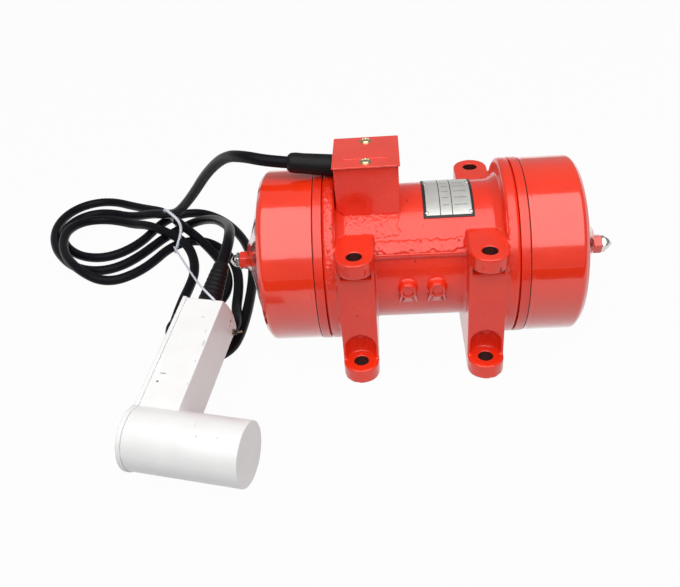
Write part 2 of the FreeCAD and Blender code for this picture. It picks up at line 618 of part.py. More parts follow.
# ---- cord ------------------------------------------------------------------------------------
def bent(points, radius, label):
    """A cord piece along straight runs joined by tangent arcs."""
    points = [Vector(*p) for p in points]
    edges, start, radii = [], points[0], []
    for before, corner, after in zip(points, points[1:], points[2:]):
        back, on = before - corner, after - corner
        shorter = 0.45 * min(back.Length, on.Length)
        first = corner + back.normalize() * shorter
        last = corner + on.normalize() * shorter
        half = (math.pi - back.getAngle(on)) / 2
        radii.append(shorter / math.tan(half))
        inwards = (back + on).normalize()
        centre = corner + inwards * (radii[-1] / math.cos(half))
        edges.append(Part.LineSegment(start, first).toShape())
        edges.append(Part.Arc(first, centre - inwards * radii[-1], last).toShape())
        start = last
    edges.append(Part.LineSegment(start, points[-1]).toShape())
    path = Part.Wire(edges)
    way = points[1] - points[0]
    ring = Part.Wire([Part.Circle(points[0], way, radius).toShape()])
    made = doc.addObject("Part::Feature", label)
    made.Shape = path.makePipeShell([ring], True, False)
    print(label, "radii", [round(r) for r in radii], "volume ratio",
          round(made.Shape.Volume / (math.pi * radius ** 2 * path.Length), 3), "length", round(path.Length))
    return made


def closed_face(points, z):
    """A smooth closed outline through points on a level."""
    curve = Part.BSplineCurve()
    curve.interpolate([Vector(x, y, z) for x, y in points], PeriodicFlag=True)
    return Part.Face(Part.Wire([curve.toShape()]))


CORD_R = value("cord_radius")
LEAD = [(-150.5, 0, 237.4), (-175, 0, 240.7), (-205, 14, 242), (-238, 62, 222), (-279, 121, 174), (-320, 176, 114),
        (-350, 216, 72), (-371, 242, 26)]
TAIL = [(-247, -19.4, 110.8), (-243, 1, 118.7), (-245, 37, 118.5), (-256, 93, 101), (-278, 156, 72), (-302, 206, 46),
        (-318, 236, 22)]
HANK = [(-386, 180), (-404, 140), (-426, 119), (-449, 106), (-472, 103), (-498, 111), (-524, 132), (-547, 160),
        (-570, 192), (-589, 222), (-603, 254), (-607, 292), (-602, 334), (-583, 367), (-550, 382), (-515, 378),
        (-480, 360), (-444, 334), (-418, 315), (-398, 317), (-375, 325), (-344, 319), (-310, 295), (-283, 261),
        (-260, 222), (-244, 183), (-234, 142), (-229, 98), (-227, 55), (-227, 12), (-229, -32), (-237, -62),
        (-258, -83), (-286, -90), (-314, -83), (-334, -62), (-341, -33), (-341, 4), (-338, 42), (-335, 78),
        (-334, 110), (-340, 140), (-354, 168)]
LEFT_EYE = [(-438, 256), (-452, 263), (-470, 273), (-492, 287), (-516, 296), (-536, 288), (-549, 268), (-553, 243),
            (-548, 222), (-530, 206), (-510, 194), (-487, 191), (-469, 198), (-453, 213), (-441, 234)]
RIGHT_EYE = [(-282, 72), (-284, 104), (-294, 134), (-307, 157), (-321, 172), (-321, 142), (-316, 110), (-317, 78),
             (-320, 42), (-322, 22), (-312, 18), (-297, 30), (-286, 48)]

lead = node("cord_lead", bent(LEAD, CORD_R, "Lead"))
tail = node("cord_tail", bent(TAIL, CORD_R, "Tail"))
slab = closed_face(HANK, 0.2).extrude(Vector(0, 0, 30))
for eye in (LEFT_EYE, RIGHT_EYE):
    slab = slab.cut(closed_face(eye, -5).extrude(Vector(0, 0, 60)))
hank = doc.addObject("Part::Feature", "Hank")
hank.Shape = slab


def tie_band():
    """The wire round the neck of the bundle, as a flat closed band."""
    return cut(block(4, 150, 34, -391, 176, 0), block(8, 146, 30.4, -393, 178, 1.8))


node("cord_tie", tie_band())
node("cord_hank", cut(hank, tie_band()))

# ---- write every piece ----------------------------------------------------------------------
doc.recompute()
os.makedirs("parts", exist_ok=True)
for thing in doc.Objects:
    if "Invalid" in thing.State or "Error" in thing.State:
        raise RuntimeError(f"{thing.Name} ({thing.Label}) is in state {thing.State}")
for thing in NODES:
    if thing.Shape.isNull() or not thing.Shape.isValid():
        raise RuntimeError(f"{thing.Label} has no valid shape")
    thing.Shape.exportStep(f"parts/{thing.Label}.step")
    box = thing.Shape.BoundBox
    print(f"{thing.Label:24s} solids {len(thing.Shape.Solids):3d}  volume {thing.Shape.Volume:12.0f}  "
          f"x {box.XMin:8.1f} {box.XMax:8.1f}  y {box.YMin:8.1f} {box.YMax:8.1f}  z {box.ZMin:7.1f} {box.ZMax:7.1f}")
print(len(NODES), "pieces")
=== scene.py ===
import math
import random

import bmesh
import bpy
from mathutils import Matrix, Vector, noise


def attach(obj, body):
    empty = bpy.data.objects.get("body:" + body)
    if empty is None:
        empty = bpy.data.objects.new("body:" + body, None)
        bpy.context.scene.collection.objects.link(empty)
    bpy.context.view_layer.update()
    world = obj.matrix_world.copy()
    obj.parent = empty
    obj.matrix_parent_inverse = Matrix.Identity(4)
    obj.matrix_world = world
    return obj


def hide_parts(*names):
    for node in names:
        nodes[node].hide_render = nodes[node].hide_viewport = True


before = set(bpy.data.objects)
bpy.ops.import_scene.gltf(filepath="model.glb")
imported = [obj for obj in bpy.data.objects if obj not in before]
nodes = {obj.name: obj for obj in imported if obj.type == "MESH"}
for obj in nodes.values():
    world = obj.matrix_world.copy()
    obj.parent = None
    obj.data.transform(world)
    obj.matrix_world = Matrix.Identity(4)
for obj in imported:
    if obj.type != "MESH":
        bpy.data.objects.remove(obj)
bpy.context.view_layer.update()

scene = bpy.context.scene
MM = 0.001

# ---------------------------------------------------------------------------
# Camera.  It stands in front of the motor and a little to the left of its
# middle, looks down at the shaft line and is rolled slightly.
YAW, ELEVATION, ROLL = math.radians(4.82), math.radians(34.73), math.radians(-5.23)
camera_data = bpy.data.cameras.new("camera")
camera_data.lens = 40.48
camera_data.sensor_width = 36
camera = bpy.data.objects.new("camera", camera_data)
scene.collection.objects.link(camera)
back = Vector((math.sin(YAW) * math.cos(ELEVATION), -math.cos(YAW) * math.cos(ELEVATION), math.sin(ELEVATION)))
level = Vector((math.cos(YAW), math.sin(YAW), 0))
right = math.cos(ROLL) * level + math.sin(ROLL) * back.cross(level)
camera.matrix_world = Matrix.Translation(Vector((-33.3, -824.6, 619.7)) * MM) @ Matrix(
    (right, back.cross(right), back)).transposed().to_4x4()
scene.camera = camera


# ---------------------------------------------------------------------------
# Floor and lamp.  A plain white table under one large soft lamp above and in
# front of the motor; a dark card on the table keeps its light off the fronts.
class Value:
    """An output socket of a shader, which adds Math nodes when it is calculated with."""

    def __init__(self, finish, socket):
        self.finish = finish
        self.socket = socket

    def math(self, operation, *sides):
        node = self.finish.tree.nodes.new("ShaderNodeMath")
        node.operation = operation
        for slot, side in zip(node.inputs, sides):
            self.finish.feed(slot, side)
        return Value(self.finish, node.outputs[0])

    def __add__(self, other):
        return self.math("ADD", self, other)

    def __radd__(self, other):
        return self.math("ADD", other, self)

    def __sub__(self, other):
        return self.math("SUBTRACT", self, other)

    def __rsub__(self, other):
        return self.math("SUBTRACT", other, self)

    def __mul__(self, other):
        return self.math("MULTIPLY", self, other)

    def __rmul__(self, other):
        return self.math("MULTIPLY", other, self)

    def __truediv__(self, other):
        return self.math("DIVIDE", self, other)

    def __gt__(self, other):
        return self.math("GREATER_THAN", self, other)

    def __lt__(self, other):
        return self.math("LESS_THAN", self, other)

    def __abs__(self):
        return self.math("ABSOLUTE", self)

    def most(self, other):
        return self.math("MAXIMUM", self, other)

    def least(self, other):
        return self.math("MINIMUM", self, other)


class Finish:
    """A material with one Principled shader, whose plain numbers are set on its own sockets."""

    def __init__(self, name, **constants):
        self.material = bpy.data.materials.new(name)
        self.material.use_nodes = True
        self.tree = self.material.node_tree
        self.shader = self.tree.nodes["Principled BSDF"]
        self.output = self.tree.nodes["Material Output"]
        self.set(**constants)

    def feed(self, slot, value):
        if isinstance(value, Value):
            self.tree.links.new(value.socket, slot)
        elif isinstance(value, (tuple, list)) and len(value) == 3 and slot.type == "RGBA":
            slot.default_value = (*value, 1)
        else:
            slot.default_value = value

    def set(self, **sockets):
        """Values or links of the Principled shader's sockets, named with _ for a space."""
        for name, value in sockets.items():
            self.feed(self.shader.inputs[name.replace("_", " ")], value)
        return self

    def node(self, kind, settings=(), output=0, **sockets):
        node = self.tree.nodes.new("ShaderNode" + kind)
        for name, value in dict(settings).items():
            if name == "stops":
                ramp = node.color_ramp.elements
                while len(ramp) < len(value):
                    ramp.new(0.5)
                for element, (place, colour) in zip(ramp, value):
                    element.position = place
                    element.color = (*colour, 1) if isinstance(colour, tuple) else (colour, colour, colour, 1)
            else:
                setattr(node, name, value)
        for name, value in sockets.items():
            slot = node.inputs[int(name[1:])] if name[1:].isdigit() else node.inputs[name.replace("_", " ")]
            self.feed(slot, value)
        return Value(self, node.outputs[output])

    def place(self):
        """The surface point in the frame's metres."""
        return self.node("TexCoord", output="Object")

    def axes(self):
        """The x, y and z of the surface point."""
        split = self.tree.nodes.new("ShaderNodeSeparateXYZ")
        self.feed(split.inputs[0], self.place())
        return [Value(self, out) for out in split.outputs]

    def noise(self, scale, detail=3, roughness=0.55):
        return self.node("TexNoise", Vector=self.place(), Scale=scale, Detail=detail, Roughness=roughness)

    def ramp(self, value, *stops):
        return self.node("ValToRGB", {"stops": stops}, Fac=value)

    def blend(self, factor, one, other):
        """A colour between two."""
        return self.node("Mix", {"data_type": "RGBA"}, output=2, _0=factor, _6=one, _7=other)

    def bump(self, height, distance, strength=1.0):
        """A Bump node for the Normal socket; distance in metres."""
        return self.node("Bump", Height=height, Distance=distance, Strength=strength)

    def wear(self, thing):
        """Give a piece this finish and nothing else."""
        thing.data.materials.clear()
        thing.data.materials.append(self.material)
        return thing


def sheet(name, low, high, z, finish):
    """A flat rectangle of the stage, in metres."""
    (x0, y0), (x1, y1) = low, high
    mesh = bpy.data.meshes.new(name)
    mesh.from_pydata([(x0, y0, z), (x1, y0, z), (x1, y1, z), (x0, y1, z)], [], [(0, 1, 2, 3)])
    made = bpy.data.objects.new(name, mesh)
    scene.collection.objects.link(made)
    finish.wear(made)
    return made


WHITE_SHARE = 0.97
table_white = Finish("table white", Base_Color=(0.36, 0.36, 0.365), Roughness=0.8, Specular_IOR_Level=0.0)
seen = table_white.node("LightPath", output="Is Camera Ray")
seen = seen.most(table_white.node("LightPath", output="Is Glossy Ray"))
seen = seen.most(table_white.node("LightPath", output="Is Transmission Ray"))
glow = table_white.node("Emission", Color=(1, 1, 1), Strength=1.0)
lit = Value(table_white, table_white.shader.outputs[0])
floor_mix = table_white.node("MixShader", _0=seen * WHITE_SHARE, _1=lit, _2=glow)
table_white.tree.links.new(floor_mix.socket, table_white.output.inputs["Surface"])
sheet("floor", (-6, -6), (6, 6), 0, table_white)

black_card = Finish("black card", Roughness=0.9, Specular_IOR_Level=0.0)
black_card.set(Base_Color=black_card.blend(black_card.noise(4), (0.03, 0.03, 0.03), (0.05, 0.05, 0.05)))
sheet("dark_card", (-3, -4), (3, -0.52), 0.002, black_card).visible_camera = False

world = bpy.data.worlds.new("studio")
world.use_nodes = True
world.node_tree.nodes["Background"].inputs["Color"].default_value = (1, 1, 1, 1)
world.node_tree.nodes["Background"].inputs["Strength"].default_value = 0.30
scene.world = world

lamp_at, lamp_aim = Vector((0.0, -0.80, 1.52)), Vector((0.0, 0.0, 0.11))
lamp_data = bpy.data.lights.new("softbox", "AREA")
lamp_data.shape = "RECTANGLE"
lamp_data.size, lamp_data.size_y = 2.6, 2.2
lamp_data.energy = 37
lamp = bpy.data.objects.new("softbox", lamp_data)
scene.collection.objects.link(lamp)
lamp.location = lamp_at
lamp.rotation_mode = "QUATERNION"
lamp.rotation_quaternion = (lamp_aim - lamp_at).to_track_quat("-Z", "Y")
scene.view_settings.view_transform = "Standard"

# ---------------------------------------------------------------------------
# Frame casting.  One iron sand casting: tube, round flanges, two legs with
# feet and ears, two ledges and two bosses, under thick glossy orange enamel.
paint = (0.93, 0.036, 0.007)
SHAFT_Z = 110
AXIS = Vector((0, 0, SHAFT_Z))
TUBE_R = 82.5
frame_enamel = Finish("frame enamel", Specular_IOR_Level=0.5, Coat_Roughness=0.08, Coat_IOR=1.5)
fine = frame_enamel.noise(420, 3, 0.6)
coarse = frame_enamel.noise(60, 2, 0.5)
wide = frame_enamel.noise(14, 2, 0.5)
pits = frame_enamel.ramp(frame_enamel.noise(110, 2, 0.5), (0.735, 0.0), (0.76, 1.0))
clouded = frame_enamel.blend(frame_enamel.ramp(wide, (0.35, 0.0), (0.7, 1.0)), paint, (0.80, 0.024, 0.005))
frame_enamel.set(Base_Color=frame_enamel.blend(pits * 0.75, clouded, (0.10, 0.012, 0.010)),
                 Roughness=0.22 + fine * 0.16 + pits * 0.3, Coat_Weight=0.55 - pits * 0.45,
                 Normal=frame_enamel.bump(fine * 0.5 + coarse * 0.9 - pits * 0.8, 0.0009, 0.75))


def cast_skin(piece, grain, passes):
    """Round every edge of a cast or moulded piece as its mould does."""
    skin = piece.modifiers.new("cast skin", "REMESH")
    skin.mode = "VOXEL"
    skin.voxel_size = grain * MM
    skin.use_smooth_shade = True
    soften = piece.modifiers.new("soft edges", "SMOOTH")
    soften.factor = 0.5
    soften.iterations = passes


frame_enamel.wear(nodes["stator_frame"])
cast_skin(nodes["stator_frame"], 1.3, 7)
for side in ("left", "right"):
    frame_enamel.wear(nodes["end_shield_" + side])


# ---------------------------------------------------------------------------
# Set screws in the two bosses.  Square-headed zinc screws, painted over with
# the frame; the enamel ran down below them before it set.
def build(name, verts, faces, finish):
    """A piece from corners in millimetres and the faces between them."""
    mesh = bpy.data.meshes.new(name)
    mesh.from_pydata([Vector(v) * MM for v in verts], [], faces)
    work = bmesh.new()
    work.from_mesh(mesh)
    bmesh.ops.remove_doubles(work, verts=work.verts, dist=1e-6)
    bmesh.ops.recalc_face_normals(work, faces=work.faces)
    for face in work.faces:
        face.smooth = True
    work.to_mesh(mesh)
    work.free()
    piece = bpy.data.objects.new(name.replace(" ", "_"), mesh)
    scene.collection.objects.link(piece)
    piece.modifiers.new("even shading", "WEIGHTED_NORMAL")
    return finish.wear(piece)


def spun(outline, start, way, segments=96, closed=False):
    """Corners and faces of a turned piece; outline gives (along, radius) pairs, or makes them from the angle."""
    start, way = Vector(start), Vector(way).normalized()
    side = way.cross(Vector((0, 0, 1)) if abs(way.z) < 0.9 else Vector((1, 0, 0))).normalized()
    other = way.cross(side)
    verts, faces = [], []
    for i in range(segments):
        angle = 2 * math.pi * i / segments
        rows = outline(angle) if callable(outline) else outline
        count = len(rows)
        ray = side * math.cos(angle) + other * math.sin(angle)
        verts += [start + way * along + ray * radius for along, radius in rows]
        for j in range(count if closed else count - 1):
            k, m = (j + 1) % count, (i + 1) % segments
            faces.append((i * count + j, i * count + k, m * count + k, m * count + j))
    return verts, faces


def joined(*parts):
    """Several bundles of corners and faces as one."""
    verts, faces = [], []
    for more_verts, more_faces in parts:
        first = len(verts)
        verts += more_verts
        faces += [tuple(v + first for v in face) for face in more_faces]
    return verts, faces


def many_sided(sides, apothem, thick, crown=0.5, bore=0.0, turn=0.0):
    """The outline of a nut or a square head with chamfered corners."""
    def outline(angle):
        step = 2 * math.pi / sides
        off = (angle + turn) % step - step / 2
        reach = apothem / math.cos(off)
        drop = (reach - apothem) * crown + 0.25
        return [(0, bore), (0, apothem * 0.97), (drop, reach), (thick - drop, reach), (thick - 0.1, apothem * 0.97),
                (thick, apothem * 0.9), (thick, bore)]
    return outline


def drip(path, widths, out=(0, -1, 0)):
    """A run of thick paint along a path, standing out from the wall behind it."""
    verts, faces = [], []
    out = Vector(out)
    around = 10
    for i, (point, width) in enumerate(zip(path, widths)):
        ahead = Vector(path[min(i + 1, len(path) - 1)]) - Vector(path[max(i - 1, 0)])
        side = ahead.cross(out).normalized()
        for j in range(around):
            angle = 2 * math.pi * j / around
            verts.append(Vector(point) + (side * math.cos(angle) + out * 0.8 * math.sin(angle)) * width)
            if i:
                faces.append(((i - 1) * around + j, (i - 1) * around + (j + 1) % around,
                              i * around + (j + 1) % around, i * around + j))
    faces.append(tuple(range(around)))
    faces.append(tuple(range((len(path) - 1) * around, len(path) * around)))
    return verts, faces


def apron(x):
    """The smooth fan of thick enamel below a screw head."""
    verts, faces = [], []
    for i in range(9):
        part = i / 8
        down = math.radians(3 + 15 * part)
        for j in range(9):
            across = 2 * j / 8 - 1
            out = TUBE_R - 0.3 + (10.5 * (1 - part) ** 1.3 + 0.9) * (1 - across ** 2) ** 0.5
            verts.append((x + across * (4.2 + 4.6 * part), -out * math.cos(down), SHAFT_Z - out * math.sin(down)))
            if i and j:
                a = (i - 1) * 9 + j - 1
                faces.append((a, a + 1, a + 10, a + 9))
    return verts, faces


# Half of the hood over a head, from its foot up to the middle: place and width.
HOOD = [((-10.4, -80.9, 86), 0.9), ((-9.2, -83.4, 92), 1.5), ((-8.2, -88.0, 98), 1.9), ((-7.8, -91.6, 104), 2.1),
        ((-7.2, -92, 110), 2.3), ((-4.8, -92, 114.6), 2.5), ((0, -92, 116.6), 2.6)]
HOOD += [((-a, b, c), width) for (a, b, c), width in HOOD[-2::-1]]
heads = []
for i, x in enumerate((-15.5, 18.5)):
    heads.append(spun(many_sided(4, 5.6, 8.5, 0.35, turn=0.2 + 0.3 * i), (x, -84, 109), (0, -1, 0), 64))
    heads.append(apron(x))
    heads.append(drip([(x + a, b, c) for (a, b, c), _ in HOOD], [width for _, width in HOOD]))
boss_screws = build("set screws", *joined(*heads), frame_enamel)
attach(boss_screws, "motor")
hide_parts("stator_set_screws")


# ---------------------------------------------------------------------------
# Coarse cast skin.  Where the sand mould was patched the iron is lumpy: under
# the box, above the front ledge and round the edges of the flanges.
def rough_skin(low, high, start, end, radius, height, grain, seed, swell=0.0):
    """A lumpy patch between two places along the shaft and two angles from the top towards the front."""
    cell = 1.1
    rows = max(3, int(abs(end - start) * radius * math.pi / 180 / cell))
    columns = max(3, int((high - low) / cell))
    verts, faces = [], []
    for i in range(rows + 1):
        for j in range(columns + 1):
            x = low + (high - low) * j / columns
            angle = math.radians(start + (end - start) * i / rows)
            spot = Vector((x, angle * radius, seed))
            edge = min(i, rows - i, j, columns - j) / 3 + noise.noise(spot / 7) * 1.4
            lump = abs(noise.noise(spot / grain)) * 1.5 + 0.5 * noise.noise(spot / grain * 2.3)
            out = radius - 0.8 + swell * i / rows + min(1, max(0, edge)) * (1.0 + height * lump)
            verts.append((x, -out * math.sin(angle), SHAFT_Z + out * math.cos(angle)))
            if i and j:
                a = (i - 1) * (columns + 1) + j - 1
                faces.append((a, a + 1, a + columns + 2, a + columns + 1))
    return verts, faces


FLANGE_R = 107.2
cast_patches = build("cast patches", *joined(
    rough_skin(-90, -20, 25, 49, TUBE_R, 1.6, 2.4, 3),
    rough_skin(-53.5, 53.5, 50, 61.5, TUBE_R, 1.3, 2.4, 8, 5.2),
    rough_skin(-109, -98.5, 2, 84, FLANGE_R, 1.3, 4.2, 15),
    rough_skin(98.5, 104, 34, 74, FLANGE_R, 0.8, 5.0, 21)), frame_enamel)
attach(cast_patches, "motor")

# ---------------------------------------------------------------------------
# Bolt holes.  Drilled through each foot and ear after casting, and left bare;
# the dark lining is partly iron gone dark with rust and a little paint, partly painted shade down the holes.
HOLE_R = 8.74
# The bore lining is so dark partly as painted shade of the hole's depth, not only as rusty iron.
bare = Finish("dark bore iron and painted shade", Metallic=0.4)
rust = bare.noise(300, 3)
bare.set(Base_Color=bare.blend(rust, (0.10, 0.012, 0.008), (0.035, 0.010, 0.008)), Roughness=0.6 + rust * 0.2)
linings = []
for x in (-75, 75):
    for y in (-105, 105):
        for low, high in ((0.4, 17.8), (151.4, 167.6)):
            ring = [(0, HOLE_R), (high - low, HOLE_R), (high - low, HOLE_R - 0.24), (0, HOLE_R - 0.24)]
            linings.append(spun(ring, (x, y, low), (0, 0, 1), 48, closed=True))
bores = build("bolt bores", *joined(*linings), bare)
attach(bores, "motor")

# ---------------------------------------------------------------------------
# Runs of enamel.  The thick paint sagged before it set and left runs and
# beads on the flanges and below the edges of the ears and feet.
random.seed(14)
FLANGE_FACE = 97.0
runs = []
for side, count in ((-1, 34), (1, 16)):
    for i in range(count):
        angle = math.radians(random.uniform(-62, 58))
        radius = random.uniform(92, 107.5)
        size = random.uniform(0.7, 1.7)
        length = random.uniform(2, 9)
        path = []
        for k in range(5):
            turn = angle - math.radians(k * length / 2.2)
            path.append((side * FLANGE_FACE, -radius * math.cos(turn), SHAFT_Z + radius * math.sin(turn)))
        runs.append(drip(path, [size * 0.4, size * 0.8, size, size * 1.1, size * 0.3], (side, 0, 0)))
for x, y, z, drop in ((-62, -123.4, 152, 12), (-88, -121.8, 156, 10), (66, -124.2, 154, 9), (90, -119.4, 151, 13),
                      (-70, -126, 3, 8), (84, -125, 2, 7)):
    runs.append(drip([(x, y + 2.2, z + drop), (x, y + 0.8, z + drop * 0.7), (x, y + 0.2, z + drop * 0.3), (x, y, z)],
                     [0.8, 1.3, 1.8, 0.7]))
enamel_runs = build("enamel runs", *joined(*runs), frame_enamel)
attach(enamel_runs, "motor")


# ---------------------------------------------------------------------------
# Drum covers.  Spun steel with a coned end and a flat cap, sprayed glossy;
# the open rim sits on a rubber ring and three long screws hold each drum.
cover_enamel = Finish("cover enamel", Specular_IOR_Level=0.55, Coat_Roughness=0.05, Coat_IOR=1.55)
ripple = cover_enamel.noise(20, 2, 0.5)
peel = cover_enamel.noise(210, 2, 0.5)
scratch = cover_enamel.ramp(cover_enamel.noise(36, 5, 0.7), (0.66, 0.0), (0.72, 1.0))
across, _, _ = cover_enamel.axes()
spinning = cover_enamel.node("TexNoise", {"noise_dimensions": "1D"}, W=across, Scale=130.0, Detail=3.0)
cover_enamel.set(Base_Color=cover_enamel.blend(cover_enamel.ramp(ripple, (0.35, 0.0), (0.75, 1.0)), paint,
                                               (0.84, 0.027, 0.005)),
                 Roughness=0.15 + peel * 0.08 + scratch * 0.1, Coat_Weight=0.9 - scratch * 0.25,
                 Normal=cover_enamel.bump(ripple * 1.6 + peel * 0.05 + spinning * 0.16, 0.0016, 0.55))


def filleted(corners, steps=6):
    """An outline whose (along, radius, fillet) corners are rounded off."""
    rows = []
    for i, (along, radius, fillet) in enumerate(corners):
        here = Vector((along, radius))
        if not fillet or i in (0, len(corners) - 1):
            rows.append((along, radius))
            continue
        back = (Vector(corners[i - 1][:2]) - here).normalized()
        ahead = (Vector(corners[i + 1][:2]) - here).normalized()
        half = back.angle(ahead) / 2
        cut = fillet / math.tan(half)
        middle = here + (back + ahead).normalized() * fillet / math.sin(half)
        first, last = here + back * cut - middle, here + ahead * cut - middle
        for k in range(steps + 1):
            part = k / steps
            arm = (first * (1 - part) + last * part).normalized() * fillet
            rows.append(tuple(middle + arm))
    return rows


DRUM_R, DRUM_END = 106.7, 188.0
drum = filleted([(122.8, 104.6, 0), (122.8, DRUM_R, 0.5), (126, DRUM_R, 0), (127.5, 106.4, 0.6), (129, DRUM_R, 0.6),
                 (182.3, DRUM_R, 7), (DRUM_END, 100.2, 3.2), (207.6, 30.5, 5), (210.5, 23.5, 2.5), (213.9, 17.8, 1.6),
                 (213.9, 0, 0)])
for side, way in (("left", -1), ("right", 1)):
    cover = build("drum cover " + side, *spun(drum, AXIS, (way, 0, 0), 160), cover_enamel)
    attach(cover, "motor")
    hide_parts("cover_" + side)


def dome_head(radius, height, drive="cross", reach=0.55, groove=0.11):
    """A pan head with a cross, a slot or no recess in it."""
    def outline(angle):
        rows = [(0, radius * 0.98), (height * 0.25, radius)]
        for k in range(13):
            r = radius * (1 - k / 12)
            x, y = abs(r * math.cos(angle)), abs(r * math.sin(angle))
            top = height * (0.32 + 0.68 * math.sqrt(max(0, 1 - (r / radius) ** 2)))
            arms = {"cross": min(x, y), "slot": x, "none": radius}[drive]
            if arms < groove * radius and max(x, y) < (reach if drive == "cross" else 2) * radius:
                top -= height * 0.45
            rows.append((top, r))
        return rows
    return outline


zinc = Finish("zinc plate", Metallic=1.0)
blotch = zinc.noise(300, 3)
zinc.set(Base_Color=zinc.blend(blotch, (0.70, 0.68, 0.60), (0.42, 0.39, 0.33)), Roughness=0.24 + blotch * 0.22)
old_paint = Finish("overpainted screw", Specular_IOR_Level=0.5)
chipped = old_paint.noise(500, 3)
old_paint.set(Base_Color=old_paint.blend(chipped, (0.42, 0.020, 0.008), (0.06, 0.014, 0.010)),
              Roughness=0.3 + chipped * 0.3)
for side, way in (("left", -1), ("right", 1)):
    heads = []
    for angle in (30, 150, 270):
        spot = AXIS + 93 * Vector((0, way * math.cos(math.radians(angle)), math.sin(math.radians(angle))))
        spot.x = way * DRUM_END
        heads.append(spun([(0, 0), (0, 7.4), (0.8, 7.4), (1.0, 7.0), (1.0, 0)], spot, (way, 0, 0), 40))
        spot = spot + Vector((way * 1.0, 0, 0))
        heads.append(spun(dome_head(5.5, 4.6), spot, (way, 0, 0), 48))
    screws = build("cover screws " + side, *joined(*heads), old_paint)
    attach(screws, "motor")
    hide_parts("cover_screws_" + side)

# ---------------------------------------------------------------------------
# Stud through each drum.  A painted collar and nut hold the drum on its
# stud; a bright pointed cap nut closes the end.
bright = Finish("bright plate", Metallic=1.0)
haze = bright.noise(200, 2)
bright.set(Base_Color=bright.blend(haze, (0.82, 0.80, 0.76), (0.58, 0.56, 0.53)), Roughness=0.10 + haze * 0.14)
nuts, caps = [], []
for way in (-1, 1):
    middle = Vector((way * 213.6, 0, 104.5))
    nuts.append(spun(filleted([(0, 0, 0), (0, 13.0, 0), (1.2, 12.2, 0.6), (2.6, 11.6, 0.5), (2.6, 0, 0)]), middle,
                     (way, 0, 0), 64))
    nuts.append(spun(many_sided(6, 10.4, 10.2, 0.5, turn=0.3), middle + Vector((way * 2.5, 0, 0)), (way, 0, 0), 96))
    base = middle + Vector((way * 12.7, 0, 0))
    hexagon = many_sided(6, 9.4, 4.8, 0.45, turn=0.25)

    def pointed(angle):
        ogive = [(4.8 + 9.2 * k / 12, 8.0 * math.cos(math.pi / 2 * (k / 12) ** 1.15)) for k in range(13)]
        return hexagon(angle)[:-2] + [(4.8, 8.3)] + ogive
    caps.append(spun(pointed, base, (way, 0, 0), 96))
for name, parts, finish, slot in (("drum nuts", nuts, cover_enamel, "cover_paint"),
                                  ("cap nuts", caps, bright, "chrome_parts")):
    piece = build(name, *joined(*parts), finish)
    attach(piece, "motor")
    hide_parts("cover_stud_nuts" if finish is cover_enamel else "cover_cap_nuts")
zinc.wear(nodes["cover_studs"])

# ---------------------------------------------------------------------------
# Inside the frame.  Wound stator, cast cage rotor on a ground shaft in two
# ball bearings, and at each end a keyed and a clamped cast-iron weight.
core = Finish("bare iron", Metallic=0.8)
core.set(Base_Color=core.blend(core.noise(120), (0.16, 0.16, 0.17), (0.26, 0.26, 0.27)),
         Roughness=0.45 + core.noise(300) * 0.15, Normal=core.bump(core.noise(260), 0.0004, 0.5))
copper = Finish("enamelled copper", Metallic=0.9)
strands = copper.node("TexWave", {"bands_direction": "X"}, Vector=copper.place(), Scale=160.0, Distortion=2.0)
copper.set(Base_Color=copper.blend(copper.noise(500), (0.50, 0.20, 0.07), (0.32, 0.11, 0.04)),
           Roughness=0.3 + copper.noise(400) * 0.1, Normal=copper.bump(strands, 0.0006, 0.8))
brass = Finish("plain brass", Metallic=1.0)
brass.set(Base_Color=brass.blend(brass.noise(250), (0.66, 0.47, 0.18), (0.50, 0.35, 0.13)),
          Roughness=0.25 + brass.noise(300) * 0.1)
cast_aluminium = Finish("cast aluminium", Metallic=1.0)
cast_aluminium.set(Base_Color=cast_aluminium.blend(cast_aluminium.noise(300), (0.66, 0.67, 0.69), (0.5, 0.5, 0.52)),
                   Roughness=0.4 + cast_aluminium.noise(200) * 0.12)
for finish, names in {
        zinc: ("shield_bolts_left", "shield_bolts_right", "weight_clamp_bolt_left", "weight_clamp_bolt_right",
               "shaft_end_nuts", "shaft_end_washers"),
        bright: ("bearing_balls_left", "bearing_balls_right", "shaft", "bearing_outer_left", "bearing_outer_right",
                 "bearing_inner_left", "bearing_inner_right", "weight_keys"),
        core: ("stator_core", "rotor_core", "fixed_weight_left", "fixed_weight_right", "adjustable_weight_left",
               "adjustable_weight_right"),
        copper: ("stator_windings",),
        brass: ("bearing_cage_left", "bearing_cage_right"),
        cast_aluminium: ("rotor_cage_rings",)}.items():
    for name in names:
        finish.wear(nodes[name])
rubber = Finish("black rubber", Specular_IOR_Level=0.2)
bloom = rubber.noise(90, 3)
rubber.set(Base_Color=rubber.blend(bloom, (0.005, 0.005, 0.006), (0.011, 0.011, 0.012)), Roughness=0.40 + bloom * 0.15,
           Normal=rubber.bump(rubber.noise(700), 0.0002, 0.5))
for name in ("cover_gasket_left", "cover_gasket_right", "shaft_seal_left", "shaft_seal_right"):
    rubber.wear(nodes[name])

# ---------------------------------------------------------------------------
# Terminal box.  A cast box with a pressed steel lid, a rubber sheet under
# the lid, two bright screws, and the terminal strip inside.
frame_enamel.wear(nodes["terminal_box"])
cast_skin(nodes["terminal_box"], 1.0, 4)
BOX_X, LID_Z = -58.0, 244.0


